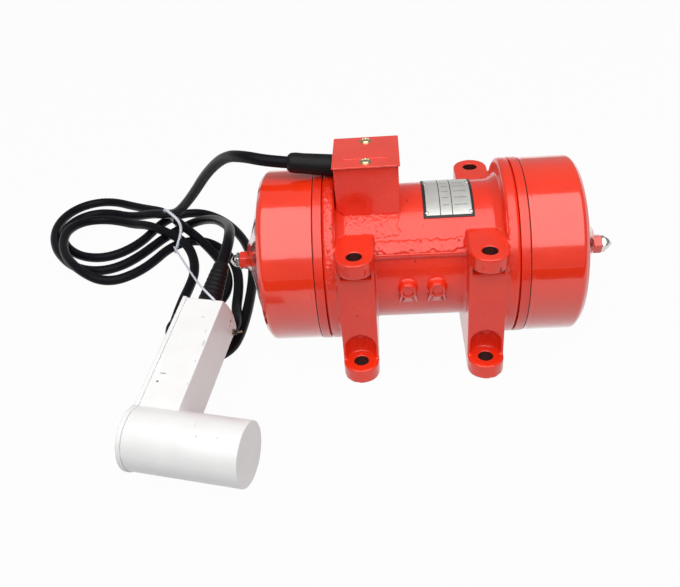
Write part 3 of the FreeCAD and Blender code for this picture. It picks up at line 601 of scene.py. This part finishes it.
def plate(low, high, bottom, top, rounding, edge):
    """A pressed rectangular sheet with rounded corners and a rolled edge."""
    (x0, y0), (x1, y1) = low, high
    half = Vector(((x1 - x0) / 2, (y1 - y0) / 2))
    middle = Vector(((x1 + x0) / 2, (y1 + y0) / 2))

    def ring(inset, z):
        points = []
        radius = max(rounding - inset, 0.2)
        for corner, (sx, sy) in enumerate(((1, 1), (-1, 1), (-1, -1), (1, -1))):
            for k in range(7):
                angle = math.pi / 2 * (corner + k / 6)
                points.append((middle.x + sx * (half.x - inset - radius) + radius * math.cos(angle),
                               middle.y + sy * (half.y - inset - radius) + radius * math.sin(angle), z))
        return points
    rows = [ring(0.2, bottom), ring(0, bottom + 0.2), ring(0, top - edge)]
    rows += [ring(edge * (1 - math.cos(a)), top - edge * (1 - math.sin(a))) for a in (0.4, 0.8, 1.2, math.pi / 2)]
    verts = [v for row in rows for v in row]
    count = len(rows[0])
    faces = []
    for i in range(len(rows) - 1):
        for j in range(count):
            faces.append((i * count + j, i * count + (j + 1) % count, (i + 1) * count + (j + 1) % count,
                          (i + 1) * count + j))
    faces.append(tuple(range(count)))
    faces.append(tuple(range((len(rows) - 1) * count, len(rows) * count)))
    return verts, faces


lid = build("box lid", *joined(
    plate((BOX_X - 38.9, -41.4), (BOX_X + 38.9, 41.4), LID_Z, LID_Z + 2.0, 1.5, 0.9),
    plate((-86, -21.5), (-31, 36), LID_Z + 1.6, LID_Z + 2.9, 2.5, 0.8)), cover_enamel)
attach(lid, "motor")
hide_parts("terminal_lid")
heads = []
for y, lift in ((-28.6, 0), (26.4, 0.8)):
    heads.append(spun(dome_head(6.2, 3.2, reach=0.6, groove=0.13), (BOX_X, y, LID_Z + 2.0 + lift), (0, 0, 1), 64))
    heads.append(spun([(0, 0), (0, 7.2), (0.7, 7.0), (0.8, 6.6), (0.8, 0)], (BOX_X, y, LID_Z + 1.6 + lift),
                      (0, 0, 1), 48))
brassy = Finish("yellow zinc", Metallic=1.0)
tarnish = brassy.noise(260, 3)
brassy.set(Base_Color=brassy.blend(tarnish, (0.86, 0.78, 0.52), (0.55, 0.46, 0.26)), Roughness=0.18 + tarnish * 0.2)
lid_screws = build("lid screws", *joined(*heads), brassy)
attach(lid_screws, "motor")
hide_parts("terminal_lid_screws")
moulded = Finish("black moulding", Specular_IOR_Level=0.4)
moulded.set(Base_Color=moulded.blend(moulded.noise(80), (0.015, 0.015, 0.016), (0.03, 0.03, 0.03)),
            Roughness=0.4 + moulded.noise(300) * 0.1)
rubber.wear(nodes["terminal_lid_gasket"])
moulded.wear(nodes["terminal_block"])
brass.wear(nodes["terminal_studs"])

# ---------------------------------------------------------------------------
# Nameplate.  Thin aluminium bent round the tube and riveted at the corners,
# with a printed black border and blank fields.
plate_print = Finish("plate print", Specular_IOR_Level=0.5)
PLATE_MIDDLE, PLATE_HALF = math.radians(-3), math.radians(31)
PLATE_X, PLATE_HALF_WIDTH = 35.5, 29.5
x, y, z = plate_print.axes()
turn = plate_print.node("Math", {"operation": "ARCTAN2"}, _0=y, _1=z - SHAFT_Z * MM)
along = (x - PLATE_X * MM) / (PLATE_HALF_WIDTH * MM)
down = (turn - PLATE_MIDDLE) / PLATE_HALF
dark = (along < -0.88).most(along > 0.90).most(abs(down) > 0.93)
for spot in (-0.33, 0.14):
    dark = dark.most(abs(along - spot) < 0.016)
for spot in (-0.62, -0.36, -0.10, 0.16, 0.42, 0.68):
    rule = (abs(down - spot) < 0.011) * (along > -0.22) * (abs(along - 0.14) > 0.10)
    dark = dark.most(rule * (along < 0.74) * 0.75)
dark = dark.least(1.0)
brush = plate_print.node("TexNoise", {"noise_dimensions": "1D"}, W=x, Scale=2600.0, Detail=2.0)
stain = plate_print.noise(90, 3)
silver = plate_print.blend(stain, (0.86, 0.87, 0.84), (0.66, 0.67, 0.63))
plate_print.set(Base_Color=plate_print.blend(dark, silver, (0.016, 0.017, 0.018)), Metallic=(1 - dark) * 0.55,
                Roughness=0.26 + brush * 0.12 + dark * 0.1, Normal=plate_print.bump(brush - dark * 0.6, 0.0003, 0.5))
verts, faces = [], []
steps = 48
for i in range(steps + 1):
    angle = PLATE_MIDDLE + PLATE_HALF * (2 * i / steps - 1)
    for radius in (82.75, 83.45):
        lift = 0.35 * abs(2 * i / steps - 1) ** 6
        for x in (PLATE_X - PLATE_HALF_WIDTH, PLATE_X + PLATE_HALF_WIDTH):
            verts.append((x, (radius + lift) * math.sin(angle), SHAFT_Z + (radius + lift) * math.cos(angle)))
for i in range(steps):
    a, b = i * 4, i * 4 + 4
    faces += [(a + 2, a + 3, b + 3, b + 2), (a, b, b + 1, a + 1), (a, a + 2, b + 2, b), (a + 1, b + 1, b + 3, a + 3)]
faces += [(0, 1, 3, 2), (steps * 4, steps * 4 + 2, steps * 4 + 3, steps * 4 + 1)]
nameplate = build("nameplate", verts, faces, plate_print)
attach(nameplate, "motor")
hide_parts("nameplate")
heads = []
for x in (10, 61):
    for angle in (-29.5, 9.5):
        out = Vector((0, math.sin(math.radians(angle)), math.cos(math.radians(angle))))
        heads.append(spun(dome_head(2.3, 1.5, "none"), Vector((x, 0, SHAFT_Z)) + out * 83.4, out, 32))
rivets = build("plate rivets", *joined(*heads), bright)
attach(rivets, "motor")
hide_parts("nameplate_rivets")

# ---------------------------------------------------------------------------
# Cord outlet.  A moulded rubber sleeve, pushed into the end of the box; it
# tapers towards the cord and ends in a rolled lip.
OUTLET, OUTLET_WAY = Vector((-95, 0, 230)), Vector((-0.9912, 0, 0.1323))
sleeve_rows = filleted([(-1, 0, 0), (-1, 13.2, 0), (4, 13.0, 1.0), (38, 12.0, 8), (47, 12.2, 3), (53, 11.4, 4),
                        (56.2, 8.6, 1.5), (56.2, 7.0, 0)])
outlet = build("outlet sleeve", *spun(sleeve_rows, OUTLET, OUTLET_WAY, 64), rubber)
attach(outlet, "motor")
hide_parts("motor_cord_sleeve")

# ---------------------------------------------------------------------------
# Switch and capacitor case.  An off-white moulding in two halves, a drum for
# the start capacitor and an arm for the switch; four screws close it.
CASE_AT = Vector((-316, -243.6, 36.9))
CASE_A, CASE_B = Vector((0.97476, -0.22325, 0)), Vector((0.21503, 0.93885, 0.26892))
CASE_C = CASE_A.cross(CASE_B)
ivory = Finish("case plastic", Specular_IOR_Level=0.5, Coat_Roughness=0.1)
grime = ivory.noise(26, 3)
specks = ivory.ramp(ivory.noise(300, 2), (0.76, 0.0), (0.78, 1.0))
clean = ivory.blend(ivory.ramp(grime, (0.4, 0.0), (0.8, 1.0)), (0.90, 0.90, 0.895), (0.85, 0.84, 0.835))
shade = ivory.blend(specks * 0.3, clean, (0.50, 0.47, 0.44))
offset = ivory.node("VectorMath", {"operation": "SUBTRACT"}, _0=ivory.place(), _1=CASE_AT * MM)
case_a, case_b, case_c = [ivory.node("VectorMath", {"operation": "DOT_PRODUCT"}, output=1, _0=offset, _1=way)
                          for way in (CASE_A, CASE_B, CASE_C)]
ragged = (ivory.noise(900, 2) - 0.5) * 1.2


def knock(one, other, middle, halves):
    """A ragged spot on a flat of the case: its middle and half sizes along two of the case's axes."""
    u, v = [(way - at * MM) / (half * MM) for way, at, half in zip((one, other), middle, halves)]
    return u * u + v * v + ragged < 1.0


# Knocks on the top of the arm and the drum: place along and across, half sizes, and how dark.
marks = []
for at_a, at_b, half_a, half_b, dark in ((9.4, 58.2, 1.3, 1.3, 0.9), (12, 69.2, 4.2, 0.7, 0.65),
                                         (44.4, 114.9, 0.9, 4.0, 0.4), (30.6, 150.8, 2.2, 1.2, 0.2),
                                         (43.5, 89.9, 0.8, 1.6, 0.3), (40.7, 131.5, 0.8, 2.6, 0.22),
                                         (82.4, -5.6, 1.4, 1.4, 0.25), (77, 7.2, 0.5, 4.0, 0.18),
                                         (105.5, -3.9, 1.6, 0.9, 0.2), (45.2, 60, 0.7, 2.0, 0.25)):
    marks.append(knock(case_a, case_b, (at_a, at_b), (half_a, half_b)) * (case_c > 0.02) * dark)
# Two small holes in the right wall, near the end of the arm, drawn as dark spots of painted shade.
for at_b, at_c, half in ((175.4, -12.5, 1.7), (170.3, -15.4, 1.2)):
    marks.append(knock(case_b, case_c, (at_b, at_c), (half, half)) * (case_a > 0.044))
# The knocks are dark wear; the two hole spots in the same mask are painted shade.
chips_and_hole_shade = marks[0]
for mark in marks[1:]:
    chips_and_hole_shade = chips_and_hole_shade.most(mark)
ivory.set(Base_Color=ivory.blend(chips_and_hole_shade, shade, (0.05, 0.035, 0.030)), Coat_Weight=0.3 - chips_and_hole_shade * 0.3,
          Roughness=0.34 + ivory.noise(500) * 0.1,
          Normal=ivory.bump(ivory.noise(600) * 0.4 + grime * 2 - chips_and_hole_shade * 2, 0.0003, 0.4))
for name in ("case_shell", "case_cover", "capacitor"):
    ivory.wear(nodes[name])
cast_skin(nodes["case_shell"], 0.8, 9)
cast_skin(nodes["case_cover"], 0.8, 3)


def on_case(a, b, c):
    return CASE_AT + CASE_A * a + CASE_B * b + CASE_C * c


heads = [spun(dome_head(3.2, 1.8), on_case(-5, b, c), -CASE_A, 32)
         for b, c in ((0, 30.2), (24, -30), (160, 20), (120, -30))]
case_screws = build("case screws", *joined(*heads), zinc)
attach(case_screws, "motor")
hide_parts("case_cover_screws")

# ---------------------------------------------------------------------------
# Toggle switch.  A threaded bushing and flat nut through the right wall of the
# arm, with a short bronze lever that throws up and down.
moulded.wear(nodes["toggle_body"])
bronze = Finish("tarnished bronze", Metallic=1.0)
patina = bronze.noise(400, 3)
bronze.set(Base_Color=bronze.blend(patina, (0.42, 0.30, 0.20), (0.16, 0.11, 0.08)), Roughness=0.25 + patina * 0.2)
for name in ("toggle_nut", "toggle_lever"):
    bronze.wear(nodes[name])

# ---------------------------------------------------------------------------
# Sleeve on the case.  Black rubber with ribs along it, through which the cord
# leaves the end of the arm.
SLEEVE_TIP = Vector((-247.0, -19.4, 110.8))
CASE_SLEEVE_WAY = (CASE_A * -0.03 + CASE_B * 0.995 + CASE_C * 0.09).normalized()
rows = [(-68, 0), (-68, 15.0), (-60, 14.6)]
for k in range(7):
    at = -53.5 + 6.6 * k
    girth = 14.3 - 0.52 * k
    rows += [(at - 2.2, girth - 0.7), (at - 1.6, girth), (at + 1.6, girth), (at + 2.2, girth - 0.7)]
rows += [(-5, 10.2), (-1.5, 9.8), (0.4, 8.8), (0.4, 7.0)]
case_sleeve = build("case sleeve", *spun(rows, SLEEVE_TIP, CASE_SLEEVE_WAY, 64), rubber)
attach(case_sleeve, "motor")
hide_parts("case_cord_sleeve")

# ---------------------------------------------------------------------------
# Cord.  About four metres of round rubber cable, from the sleeve on the
# terminal box down to the floor, round a loose figure-of-eight and up into
# the sleeve on the case.  Heights: on the floor, then over one strand.
CORD_R = 7.25
low, over = 7.4, 22.4
LEAD = [(-150.5, 0, 237.4), (-175, 0, 240.7), (-205, 14, 242), (-238, 62, 222), (-279, 121, 174),
        (-320, 176, 114), (-350, 215, 74), (-373, 241, 48), (-397, 259, 37.5)]
FIRST_TURN = [(-426, 279, 29), (-458, 301, 14), (-483, 316, low), (-507, 327, low), (-536, 332, low),
              (-560, 322, low), (-576, 300, low), (-579, 271, low), (-571, 243, low), (-555, 218, low),
              (-534, 197, low), (-511, 185, low), (-487, 182, low), (-465, 190, low), (-447, 207, low),
              (-433, 230, low), (-424, 256, low), (-415, 284, low)]
RIGHT_LOOP = [(-398, 306, low), (-374, 316, low), (-346, 311, low), (-316, 289, low), (-289, 256, low),
              (-267, 218, low), (-252, 180, low), (-242, 140, low), (-237, 98, low), (-235, 55, low),
              (-235, 12, low), (-238, -32, low), (-244.4, -57.8, low), (-261.8, -75.2, low),
              (-285.6, -81.6, low), (-309.4, -75.2, low), (-326.8, -57.8, low), (-332, -33, low),
              (-332, 4, 9), (-329, 42, 14), (-326, 78, 14), (-325, 110, 14), (-330, 142, 16),
              (-341, 171, 20)]
SECOND_TURN = [(-357, 196, over), (-379, 217, over), (-405, 238, over), (-433, 259, 20), (-461, 280, 10),
               (-488, 297, low), (-516, 305, 8), (-541, 296, 13), (-557, 272, 19), (-562, 241, 22.2),
               (-555, 206, 22.2), (-539, 170, 22.2), (-516, 140, 22.2), (-492, 120, 18), (-470, 112, 11),
               (-447, 115, low), (-426, 128, low), (-409, 148, low), (-397, 171, low), (-387, 195, low),
               (-371, 214, low), (-349, 222, low)]
INNER_LOOP = [(-327, 216, low), (-307, 201, low), (-286, 176, low), (-269, 143, low), (-259, 107, low),
              (-254, 70, low), (-252, 36, low), (-246, 5, 15), (-241, -25, 22.2), (-247, -48, 22.2),
              (-263, -64.5, 22.2), (-285.5, -70.5, 22.2), (-308, -64.5, 22.2), (-324, -48, 22.2),
              (-329, -27, 22.2), (-322, -8, 20), (-307, 8, 16), (-289, 23, 12), (-277, 44, 9),
              (-271, 72, low), (-274, 104, low), (-284, 136, low), (-299, 164, low), (-317, 188, 13),
              (-339, 212, 19.5)]
THIRD_TURN = [(-362, 238, over), (-386, 268, over), (-413, 298, over), (-447, 325, 14), (-483, 352, low),
              (-517, 370, low), (-549, 373, low), (-577, 359, low), (-594, 331, low), (-598, 294, low),
              (-591, 257, low), (-576, 221, low), (-556, 191, low), (-532, 165, low), (-509, 150, low),
              (-486, 144, low), (-464, 147, low), (-444, 160, low), (-427, 182, low), (-413, 208, low),
              (-399, 235, low), (-381, 255, 9)]
TAIL = [(-356, 261, 18), (-330, 245, 32), (-303, 211, 50), (-278, 158, 72), (-256, 95, 100),
        (-245, 40, 118), (-243, 4, 119.5), (-247, -19.4, 110.8)]


def cord_curve(name, points, radius):
    """One smooth open line through a list of control points, given a round section."""
    data = bpy.data.curves.new(name, "CURVE")
    data.dimensions = "3D"
    data.bevel_depth = radius * MM
    data.bevel_resolution = 5
    data.resolution_u = 8
    data.use_fill_caps = True
    line = data.splines.new("NURBS")
    line.points.add(len(points) - 1)
    for control, point in zip(line.points, points):
        control.co = (*(Vector(point) * MM), 1)
    line.order_u = 3
    line.use_endpoint_u = True
    made = bpy.data.objects.new(name.replace(" ", "_"), data)
    scene.collection.objects.link(made)
    return made


cable = cord_curve("cable", LEAD + FIRST_TURN + RIGHT_LOOP + SECOND_TURN + INNER_LOOP + THIRD_TURN + TAIL, CORD_R)
cable_rubber = Finish("cable rubber", Specular_IOR_Level=0.09)
scuff = cable_rubber.noise(70, 3)
cable_rubber.set(Base_Color=cable_rubber.blend(scuff, (0.004, 0.004, 0.006), (0.010, 0.010, 0.014)),
                 Roughness=0.30 + scuff * 0.14)
cable_rubber.wear(cable)
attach(cable, "motor")
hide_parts("cord_lead", "cord_hank", "cord_tail")

# ---------------------------------------------------------------------------
# Tie.  A plastic-coated wire round the waist of the figure-of-eight, twisted
# once at the front; its long end lies over the cord and up on the case.
TIE_LOOP = [(-371, 192, 9), (-366, 190, 19), (-360, 196, 32), (-357, 201, 46), (-361, 204, 57), (-373, 217, 60),
            (-389, 240, 57), (-395, 251, 47), (-389, 261, 30), (-380, 258, 10), (-377, 240, 2.4), (-377, 214, 2.4),
            (-374, 196, 2.4), (-371, 192, 6)]
TIE_END = [(-374, 196, 12), (-372, 190, 17), (-363, 171, 20), (-347, 138, 26),
           (-322, 80, 44), (-277, -37, 98), (-257, -79, 113), (-244, -94, 110)]
white_coat = Finish("white coated wire", Specular_IOR_Level=0.5)
white_coat.set(Base_Color=white_coat.blend(white_coat.noise(60), (0.90, 0.92, 0.97), (0.72, 0.77, 0.90)),
               Roughness=0.35 + white_coat.noise(200) * 0.1)
for name, points, radius in (("tie loop", TIE_LOOP, 2.3), ("tie end", TIE_END, 1.4)):
    wire = white_coat.wear(cord_curve(name, points, radius))
    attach(wire, "motor")
    if name == "tie loop":
        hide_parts("cord_tie")
